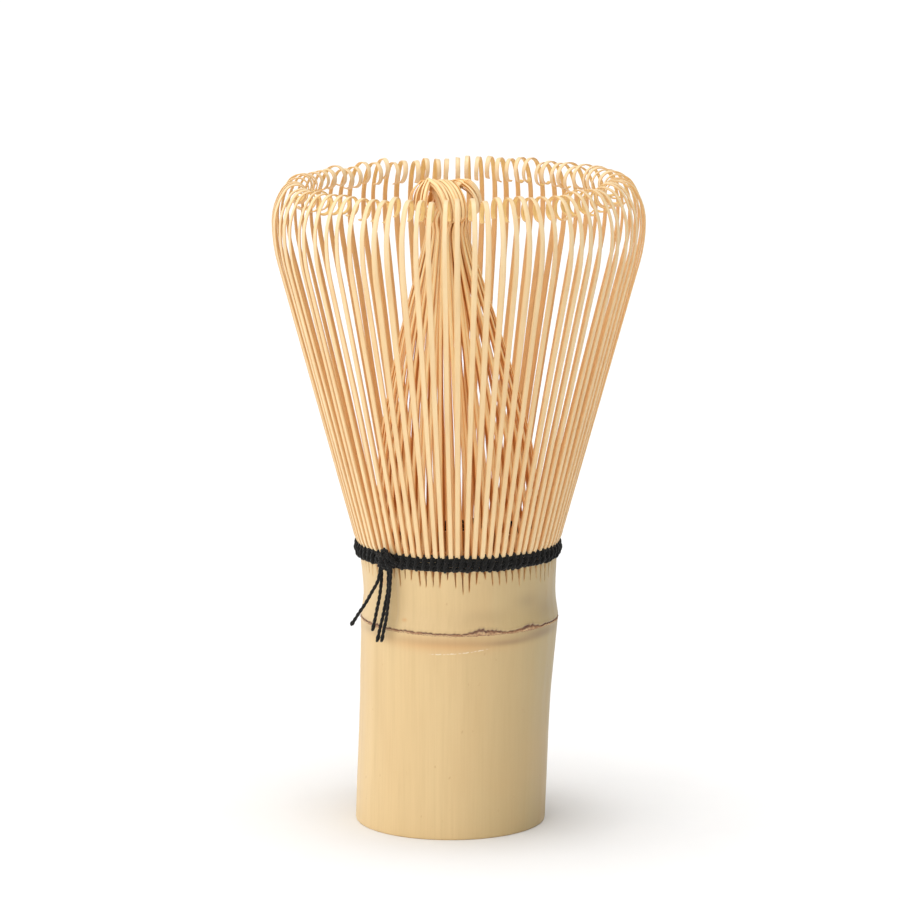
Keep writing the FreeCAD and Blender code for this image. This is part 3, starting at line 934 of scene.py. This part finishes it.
def rope(shape, line, outward, twist, phase=0.0, swell=None):
    """Two plies twisted round a line, and thicker by swell where it is given."""
    ply, spread, turn = twist
    along = distances(line)
    out, across = cross_axes(line, outward)
    around = np.linspace(0, TAU, PLY_SIDES, endpoint=False)
    size = np.ones(len(line)) if swell is None else swell
    for strand in (0.0, math.pi):
        turned = TAU * along / turn + phase + strand
        offset = spread * size
        middle = line + (offset * np.cos(turned))[:, None] * out + (offset * np.sin(turned))[:, None] * across
        ring = np.stack([np.cos(around), np.sin(around)], -1)[None] * (ply * size)[:, None, None]
        shape.sweep(middle, out, ring, across=(around / TAU)[None], along=along[:, None], tone=strand / TAU)


def lacing_angles(steps):
    """Places round the lacing counted in tines, with that many steps to each, and their angles."""
    index = np.arange(TINE_COUNT * steps + 1) / steps
    return index, np.array([tine_angle(i) for i in index])


def row_line(height, seed):
    """The centre line of one turn of the lacing: over each tine and in at each gap."""
    index, angle = lacing_angles(ROW_STEPS)
    radius = ROW_RADIUS + 0.07 * np.cos(TAU * index) + 0.03 * ripple(angle, seed, (7, 13))
    z = height + 0.05 * ripple(angle, seed + 1, (4, 9, 15)) + 0.06 * np.sin(TAU * index)
    return ring_point(radius, angle, z)


def make_rows(material):
    """The three turns of the lacing round the fingers."""
    for number, height in enumerate(ROW_HEIGHTS):
        shape = Shape()
        line = row_line(height, 50 + number)
        rope(shape, line, line * (1, 1, 0), ROW_TWIST, phase=number * 1.3)
        made = shape.object("thread_turn_%d" % (number + 1), material, 180.0)
        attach(made, HANDLE)
        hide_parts("thread_row_%d" % (number + 1))


def make_wraps(material):
    """The upright wraps in the gaps, which tie the three turns together, and the runs behind the tines."""
    rng = random.Random(31)
    shape = Shape()
    for gap in range(TINE_COUNT):
        angle = tine_angle(gap + 0.5) + rng.gauss(0, 0.004)
        slant = rng.uniform(0.006, 0.018)
        low = WRAP_LOW + rng.uniform(-0.12, 0.12)
        high = WRAP_HIGH + rng.uniform(-0.1, 0.16)
        route = []
        for share, radius in WRAP_ROUTE:
            route.append(ring_point(radius, angle + slant * (share - 0.5) * 2, low + (high - low) * share))
        line = smooth_line(route, 4)
        rope(shape, line, line * (1, 1, 0) + (0, 0, 1e-3), WRAP_TWIST, phase=rng.uniform(0, TAU))
    index, angle = lacing_angles(HIDDEN_STEPS)
    for number, height in enumerate(HIDDEN_HEIGHTS):
        radius = HIDDEN_RADIUS - 0.12 * np.cos(TAU * index)
        line = ring_point(radius, angle, height + 0.15 * np.sin(TAU * index))
        rope(shape, line, line * (1, 1, 0), HIDDEN_TWIST, phase=number)
    made = shape.object("thread_wraps", material, 180.0)
    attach(made, HANDLE)


KNOT_DEG = 227.0
KNOT_OFFSET = 0.3           # round the culm to the right, in millimetres
LOOP_OFFSET = 0.8
# Places by the knot, as knot_point takes them: out from the axis, round it, and up.
KNOT_TURNS = (
    (17.5, -2.3, 47.9), (18.0, -1.2, 48.1), (18.5, 0.0, 47.9), (18.55, 0.85, 47.2), (18.1, 0.75, 46.3),
    (17.75, -0.2, 46.1), (18.0, -0.95, 46.8), (18.6, -0.7, 47.8), (18.7, 0.15, 48.35), (18.3, 1.0, 48.2),
    (17.8, 1.5, 47.4), (17.6, 1.3, 46.6), (18.2, 0.3, 46.9), (18.95, -0.25, 47.25), (18.6, -0.9, 46.5),
    (17.9, -1.0, 45.9),
)
KNOT_MIDDLE = (18.0, 0.0, 47.2)
KNOT_END = (
    (17.55, 2.2, 47.3), (18.0, 1.3, 47.0), (18.55, 0.4, 46.7), (18.45, -0.5, 46.3), (17.9, -1.1, 46.6),
    (17.7, -1.4, 47.3),
)
KNOT_END_MIDDLE = (17.4, 0.0, 47.0)
LOOP = (
    (18.3, -0.75, 47.7), (18.55, -0.9, 48.4), (18.8, -0.72, 49.1), (18.85, -0.15, 49.55), (18.85, 0.4, 49.35),
    (18.75, 0.62, 48.8), (18.55, 0.5, 48.2), (18.3, 0.4, 47.6),
)
LOOP_MIDDLE = (16.0, 0.0, 48.6)
TAIL_START = (0.15, 0.15, 0.3)         # from a tail's first point back into the knot
TAILS = (
    ((-12.9, -13.3, 46.6), (-13.6, -12.95, 43.5), (-15.7, -11.4, 39.6), (-18.0, -9.5, 35.6)),
    ((-12.75, -12.9, 46.6), (-12.95, -12.65, 42.6), (-13.6, -11.95, 38.8), (-14.35, -11.15, 35.0)),
    ((-11.55, -13.6, 46.6), (-11.8, -13.45, 42.4), (-12.6, -12.9, 37.8), (-13.65, -12.05, 33.3)),
    ((-11.2, -14.35, 46.6), (-11.45, -14.2, 42.4), (-12.0, -13.75, 38.0), (-12.85, -12.95, 33.5)),
)


def knot_point(out, around, up):
    """A point by the knot: out from the axis, round it to the right, and up."""
    radial, side = axes_at(math.radians(KNOT_DEG))
    return radial * out + side * around + np.array([0.0, 0.0, up])


def knot_line(route, offset, steps):
    """A smooth line through places by the knot, moved round to the right by an offset."""
    return smooth_line([knot_point(out, around + offset, up) for out, around, up in route], steps)


def make_knot(material):
    """The overhand knot that ends the lacing, and the small loop above it."""
    shape = Shape()
    line = knot_line(KNOT_TURNS, KNOT_OFFSET, 9)
    rope(shape, line, line - knot_point(*KNOT_MIDDLE) + (0, 0, 0.02), KNOT_TWIST)
    line = knot_line(KNOT_END, KNOT_OFFSET, 9)
    rope(shape, line, line - knot_point(*KNOT_END_MIDDLE), KNOT_END_TWIST)
    made = shape.object("thread_knot_turns", material, 180.0)
    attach(made, HANDLE)
    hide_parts("thread_knot")
    shape = Shape()
    line = knot_line(LOOP, LOOP_OFFSET, 7)
    rope(shape, line, line - knot_point(*LOOP_MIDDLE), LOOP_TWIST)
    made = shape.object("thread_loop", material, 180.0)
    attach(made, HANDLE)
    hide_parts("thread_knot_loop")


def make_tails(material):
    """The four short tails that hang from the knot, each with its cut end a little swollen."""
    for number, route in enumerate(TAILS):
        shape = Shape()
        start = np.array(route[0]) + TAIL_START
        line = smooth_line([start, *route], 14)
        along = distances(line)
        rng = random.Random(70 + number)
        wobble = 0.07 * ripple(along / along[-1] * TAU, 80 + number, (1, 2, 3)) * smoothstep(0, 3, along)
        line = line + wobble[:, None] * np.array([rng.uniform(-1, 1), rng.uniform(-1, 0), 0.0])
        left = along[-1] - along
        swell = 1 + 0.28 * bell(left - 0.5, 0.45) - 0.35 * bell(left, 0.12)
        rope(shape, line, np.array([-0.6, -0.8, 0.05]) + 0 * line, TAIL_TWIST, phase=number, swell=swell)
        made = shape.object("thread_tail_strands_%d" % (number + 1), material, 180.0)
        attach(made, HANDLE)
        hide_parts("thread_tail_%d" % (number + 1))


# ---- studio ----

CAMERA_PLACE = (-1.35, -806.0, 208.0)
CAMERA_TILT = math.radians(90 - 10.14)
CAMERA_LENS = 193.52
CAMERA_SENSOR = 36.0
FLOOR_HALF = 6.0
WORLD_TOWARD = (-0.9, -0.4, 0.0)        # the brighter side: the left, and a little to the front
WORLD_SIDE = (-0.8, 0.8, 0.17, 1.6)     # how far toward that side, from and to, and the brightness at each
WORLD_RISE = (0.0, 0.8, 1.4, 0.3)       # the same for how far up: it is brightest at the horizon
SUN_PLACE = (0.02, -0.02, 1.0)
SUN_ENERGY = 2.1
SUN_SPREAD = math.radians(34)


def make_floor():
    """A plain pale floor."""
    mesh = bpy.data.meshes.new("floor")
    h = FLOOR_HALF
    mesh.from_pydata([(-h, -h, 0), (h, -h, 0), (h, h, 0), (-h, h, 0)], [], [(0, 1, 2, 3)])
    mesh.materials.append(floor_material())
    floor = placed("floor", mesh)


def make_world():
    """A white room that is brightest low down at the left, and darker overhead and to the right."""
    world = bpy.data.worlds.new("studio")
    bpy.context.scene.world = world
    n = Nodes(world, "Background")
    place = n.new("ShaderNodeTexCoord").outputs["Generated"]
    sideways = n.new("ShaderNodeVectorMath", {0: place, 1: WORLD_TOWARD}, operation="DOT_PRODUCT")
    up = n.new("ShaderNodeSeparateXYZ", {"Vector": place}).outputs["Z"]
    level = n.math("MULTIPLY", n.between(sideways.outputs["Value"], *WORLD_SIDE), n.between(up, *WORLD_RISE))
    n.feed(n.shader.inputs["Strength"], level)
    n.feed(n.shader.inputs["Color"], (1.0, 1.0, 1.0, 1.0))


def make_sun():
    """A soft light from overhead, which lays the crown's shadow round the foot."""
    data = bpy.data.lights.new("overhead", "SUN")
    data.energy = SUN_ENERGY
    data.angle = SUN_SPREAD
    sun = placed("overhead", data)
    sun.location = SUN_PLACE
    sun.rotation_euler = (-Vector(SUN_PLACE)).to_track_quat("-Z", "Y").to_euler()


def make_camera():
    """The camera, fitted to the photograph."""
    data = bpy.data.cameras.new("camera")
    data.lens = CAMERA_LENS
    data.sensor_width = CAMERA_SENSOR
    camera = placed("camera", data)
    camera.location = [c * MM for c in CAMERA_PLACE]
    camera.rotation_euler = (CAMERA_TILT, 0, 0)
    bpy.context.scene.camera = camera


make_camera()
make_world()
make_floor()
make_sun()
bpy.context.scene.view_settings.view_transform = "Standard"

make_culm(culm_material())
make_scar(scar_material())
make_outer_tines(tine_material("shaved_bamboo", OUTER_TIP, **OUTER_COLOURS))
make_inner_tines(tine_material("split_bamboo", INNER_TIP, **INNER_COLOURS))
cotton = thread_material()
make_rows(cotton)
make_wraps(cotton)
make_knot(cotton)
make_tails(cotton)

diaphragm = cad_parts["node_diaphragm"]
diaphragm.data.materials.clear()
diaphragm.data.materials.append(inner_wall_material())
